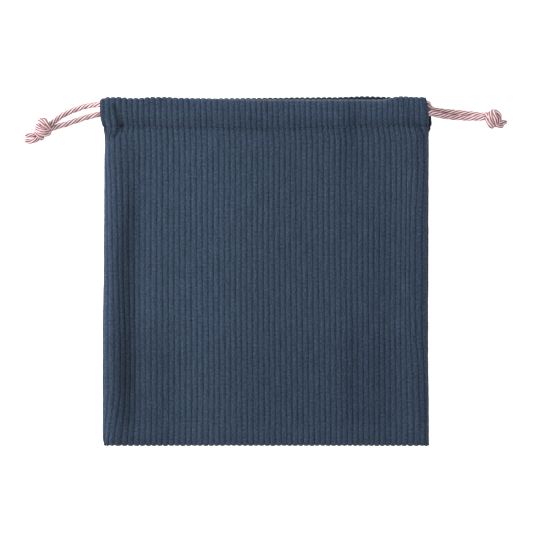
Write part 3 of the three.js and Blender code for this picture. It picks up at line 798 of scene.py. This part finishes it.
def pile_rise(plan, sizes):
    """How far the pile stands on the ground, in millimetres: each wale's profile times given factors.

    It is lower on the hem, at the casing's cut ends and in the stitching, and higher round the bottom edge
    and, in places, on the mouth's fold."""
    wale, casing_share, hem_share = plan["wale"], plan["casing_share"], plan["hem_share"]
    rise = WALE_HEIGHT * wale * (1 - casing_share * soft_step(0, 1.5, plan["past_end"]))
    rise = rise * (1 - 0.25 * soft_step(0.5, 1, hem_share))
    rise = rise * (1 - 0.7 * plan["stitched"])
    rise = rise * (1 + 0.5 * (1 - soft_step(0, 0.5, plan["bottom_height"])))
    return rise * (1 + sizes["fold_rise"](plan["x"]) * bump_at(hem_share, 0.4, 0.25))


def painted_shading_total(plan, sizes):
    """Painted light and shade at each place, as a factor on the pile's colour, 1 for plain cloth.

    It is the painted bells and bands, with more painted shade in the stitching's grooves, round the right and
    bottom edges, at the left end of the front's casing and on the back's hem."""
    wale, casing_share, hem_share = plan["wale"], plan["casing_share"], plan["hem_share"]
    on_front = sizes["sign"] > 0
    painted_shading = painted_shading_bells(plan["x"], plan["y"], sizes)
    # More painted shade in the stitching's grooves, on the right and bottom rolls, at the casing's left end
    # and on the back's hem.
    painted_shading = painted_shading * (1 - 0.65 * plan["stitched"] * (wale < 0.8))
    painted_shading = painted_shading * (1 - 0.45 * (1 - soft_step(0.1, 0.6, plan["right_height"])) * (1 - casing_share))
    painted_shading = painted_shading * (1 - 0.25 * (1 - soft_step(0.1, 0.6, plan["bottom_height"])))
    painted_shading = painted_shading * (1 - 0.4 * casing_share * (1 - soft_step(0.45, 0.75, plan["left_plan"])) * on_front)
    return painted_shading * (1 - 0.6 * soft_step(0.15, 0.35, hem_share) * (not on_front))


def painted_fold_highlight(plan, sizes):
    """A painted highlight along the front's fold at the mouth, 0 to 1, mixing towards a pale grey; the back's
    fold has none.
    """
    x = plan["x"]
    if sizes["sign"] < 0:
        return 0 * x
    most = through(x, (-90, -20, 0, 70, 84), (0.25, 0.25, 0.6, 0.5, 0.1))
    return bump_at(plan["hem_share"], 0.46, 0.12) * most


FIBRE_SEED = 11
FIBRE_SPREAD = 0.035


def panel_surface(sizes):
    """A panel's ground and pile in named arrays: places, rise of the pile, its marks, and its cloth UV."""
    plan = panel_plan(sizes)
    x, y, wale = plan["x"], plan["y"], plan["wale"]
    z = ground_height(plan, sizes)
    rise = pile_rise(plan, sizes)
    across, higher = loose_comb(plan["column"] / WALE_PITCH, plan["row_y"] + 0 * plan["column"])
    fibres = np.random.default_rng(FIBRE_SEED).normal(0, FIBRE_SPREAD, x.shape)
    plan["x"] = x + across * plan["side_height"] * wale
    middle = x.shape[1] // 2
    return {
        "ground": np.stack([plan["x"], y, z], axis=-1),
        "rise": rise * (1 + higher) + fibres * (wale > 0.3) * (rise > 0.4),
        "wale": np.broadcast_to(wale, x.shape),
        "painted_shading": painted_shading_total(plan, sizes),
        "pale": painted_fold_highlight(plan, sizes),
        "across": plan["column"][0] / WALE_PITCH,
        "along": travelled_along(np.stack([y[:, middle], z[:, middle]], axis=1)) / WALE_PITCH,
        "stitch_row": int(np.argmax(plan["stitched"])),
    }


def ground_normals(ground):
    """Unit normals of a grid of points, from its steps along and across; they point out of the front."""
    normals = np.cross(np.gradient(ground, axis=1), np.gradient(ground, axis=0))
    return normals / np.maximum(np.linalg.norm(normals, axis=-1, keepdims=True), 1e-9)


def grid_faces(rows, columns, start, flip):
    """Quads of a grid of rows by columns whose first vertex is start."""
    first = start + (np.arange(rows - 1)[:, None] * columns + np.arange(columns - 1)[None, :]).ravel()
    quads = np.stack([first, first + 1, first + columns + 1, first + columns], axis=1)
    return (quads[:, ::-1] if flip else quads).tolist()


def rim_faces(rows, columns, kept, start, flip):
    """Faces that close the edge between the pile side's grid and the backing's coarser one."""
    count = len(kept)
    faces = []
    for row in (0, rows - 1):
        for nth in range(count - 1):
            pile = [row * columns + column for column in range(kept[nth], kept[nth + 1] + 1)]
            backing = [start + row * count + nth + 1, start + row * count + nth]
            faces.append((pile + backing) if (row > 0) != flip else (pile + backing)[::-1])
    for column, nth in ((0, 0), (columns - 1, count - 1)):
        for row in range(rows - 1):
            face = [row * columns + column, (row + 1) * columns + column,
                    start + (row + 1) * count + nth, start + row * count + nth]
            faces.append(face if (column > 0) == flip else face[::-1])
    return faces


STITCH_PITCH = 2.9
STITCH_LENGTH = 2.3
STITCH_RISE = 0.45
THREAD_RADIUS = 0.24
STITCH_RINGS = 7
STITCH_SIDES = 6


def sewn_line(line, outward, start):
    """Points and faces of a row of stitches along a line of the cloth, in millimetres.

    Each is a tube bowed outwards by rise * (1 - (2 * share)^4), with share from -0.5 to 0.5 along it, so
    that its ends go into the cloth. Its radius shrinks by sqrt(1 - (1.9 * share)^4)."""
    travelled = travelled_along(line)
    margin = ALLOWANCE + STITCH_PITCH
    middles = np.arange(margin, travelled[-1] - margin, STITCH_PITCH)
    share = np.linspace(-0.5, 0.5, STITCH_RINGS)
    places = middles[:, None] + share * STITCH_LENGTH
    centre = np.stack([np.interp(places, travelled, line[:, k]) for k in range(3)], axis=-1)
    normal = np.stack([np.interp(places, travelled, outward[:, k]) for k in range(3)], axis=-1)
    centre = centre + normal * (STITCH_RISE * (1 - (2 * share) ** 4))[None, :, None]
    side = np.cross(np.gradient(centre, axis=1), normal)
    side = side / np.linalg.norm(side, axis=-1, keepdims=True)
    angle = np.linspace(0, 2 * np.pi, STITCH_SIDES, endpoint=False)[:, None]
    radius = THREAD_RADIUS * np.sqrt(1 - (1.9 * share) ** 4)[None, :, None, None]
    ray = np.cos(angle) * side[:, :, None, :] + np.sin(angle) * normal[:, :, None, :]
    points = centre[:, :, None, :] + radius * ray
    counts = np.arange(len(middles)), np.arange(STITCH_RINGS - 1), np.arange(STITCH_SIDES)
    nth, ring, corner = np.meshgrid(*counts, indexing="ij")
    base = start + (nth * STITCH_RINGS + ring) * STITCH_SIDES
    first, second = base + corner, base + (corner + 1) % STITCH_SIDES
    walls = np.stack([first, second, second + STITCH_SIDES, first + STITCH_SIDES], axis=-1).reshape(-1, 4)
    firsts = start + np.arange(len(middles)) * STITCH_RINGS * STITCH_SIDES
    lasts = firsts + (STITCH_RINGS - 1) * STITCH_SIDES
    caps = [[first + k for k in range(STITCH_SIDES)][::-1] for first in firsts.tolist()]
    caps += [[last + k for k in range(STITCH_SIDES)] for last in lasts.tolist()]
    return points.reshape(-1, 3), walls.tolist() + caps


BACKING_WALE = 0.3
THREAD_LIGHT = 1.35


def add_panel(name, node_name, sizes, material):
    """One panel: its pile side with the wales, plain backing, the cut edges between, and its stitches."""
    surface = panel_surface(sizes)
    ground, stitch_row = surface["ground"], surface["stitch_row"]
    rows, columns = surface["rise"].shape
    normals = ground_normals(ground) * sizes["sign"]
    pile = ground + normals * surface["rise"][..., None]
    kept = list(range(0, columns, BACKING_STEP))
    backing = (ground - normals * CLOTH_BACKING)[:, kept]
    flip = sizes["sign"] < 0
    start = rows * columns
    on_backing = rows * len(kept)
    thread, thread_faces = sewn_line(ground[stitch_row], normals[stitch_row], start + on_backing)
    faces = grid_faces(rows, columns, 0, flip) + grid_faces(rows, len(kept), start, not flip)
    faces += rim_faces(rows, columns, kept, start, flip) + thread_faces
    points = np.concatenate([pile.reshape(-1, 3), backing.reshape(-1, 3), thread]) * MM
    piece = new_piece(name, points, faces, material)
    masks = {}
    # The painted light and shade mark is plain 1 on the backing and 1.35 on the thread.
    for mark, of_backing, of_thread in (("wale", BACKING_WALE, 1), ("painted_shading", 1, THREAD_LIGHT), ("pale", 0, 0)):
        masks[mark] = np.concatenate([surface[mark].ravel(), np.full(on_backing, of_backing, float),
                                      np.full(len(thread), of_thread, float)])
    places = np.stack(np.broadcast_arrays(surface["across"], surface["along"][:, None]), axis=-1)
    uv = np.concatenate([places.reshape(-1, 2), places[:, kept].reshape(-1, 2), thread[:, :2] / WALE_PITCH])
    add_marks(piece, masks, uv, wraps=False)
    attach(piece, "root")
    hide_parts(node_name)
    return piece


def corduroy_material():
    """Slate-blue cotton pile: lighter crowns and darker grooves by the wale mark, partly the bare ground
    weave and partly painted shade, with a painted highlight along the front's fold by the pale mark. A fuzz
    of fibres, streaks of wear along the wales, painted light and shade and a slow drift of the dye's hue are
    multiplied in."""
    material, shader = new_material("slate_corduroy", Roughness=0.95, Sheen_Weight=0.1, Sheen_Roughness=0.45,
                                    Specular_IOR_Level=0.2)
    tree = material.node_tree
    wale = node(tree, "ShaderNodeAttribute", attribute_name="wale").outputs["Fac"]
    place = node(tree, "ShaderNodeUVMap", uv_map="surface").outputs["UV"]
    stretched = node(tree, "ShaderNodeMapping", [("Vector", place)], Scale=(4.3, 2.7, 1.0)).outputs["Vector"]
    fuzz = node(tree, "ShaderNodeTexNoise", [("Vector", stretched)], Scale=1.0, Detail=3.0, Roughness=0.55)
    streaked = node(tree, "ShaderNodeMapping", [("Vector", place)], Scale=(2.0, 0.3, 1.0)).outputs["Vector"]
    streaks = node(tree, "ShaderNodeTexNoise", [("Vector", streaked)], Scale=1.0, Detail=2.0, Roughness=0.5)
    # Partly the bare ground weave and partly painted shade: the grooves are darker and the crowns lighter, by
    # the wale mark.
    base = ramp(tree, wale, [(0.0, linear(44.5, 58, 75)), (0.55, linear(52, 66.5, 86)),
                             (0.85, linear(57, 72.5, 93)), (1.0, linear(58, 73.5, 94))])
    speckle = ramp(tree, fuzz.outputs["Fac"], [(0.34, (0.6, 0.6, 0.6, 1)), (0.5, (0.98, 0.98, 0.98, 1)),
                                               (0.66, (1.47, 1.47, 1.47, 1))])
    dyed = node(tree, "ShaderNodeTexNoise", [("Vector", stretched)], Scale=0.35, Detail=2.0)
    hue = ramp(tree, dyed.outputs["Fac"], [(0.35, (0.95, 1.05, 0.99, 1)), (0.65, (1.06, 0.95, 1.01, 1))])
    worn = ramp(tree, streaks.outputs["Fac"], [(0.35, (0.88, 0.88, 0.88, 1)), (0.65, (1.12, 1.12, 1.12, 1))])
    # Painted light and shade, from the panels' own mark, multiplied into the colour.
    painted_shading = node(tree, "ShaderNodeAttribute", attribute_name="painted_shading").outputs["Fac"]
    pale = node(tree, "ShaderNodeAttribute", attribute_name="pale").outputs["Fac"]
    # Painted highlight: the front's fold is mixed towards a pale grey by the pale mark.
    colour = mixed(tree, pale, base, linear(112, 128, 134))
    for layer in (speckle, worn, painted_shading, hue):
        colour = mixed(tree, 1.0, colour, layer, "MULTIPLY")
    tree.links.new(shader.inputs["Base Color"], colour)
    bump = node(tree, "ShaderNodeBump", [("Height", fuzz.outputs["Fac"])], Strength=0.6, Distance=0.4 * MM)
    tree.links.new(shader.inputs["Normal"], bump.outputs["Normal"])
    return material


corduroy = corduroy_material()
front_cloth = add_panel("front_cloth", "front_panel", front_panel_sizes, corduroy)
back_cloth = add_panel("back_cloth", "back_panel", back_panel_sizes, corduroy)
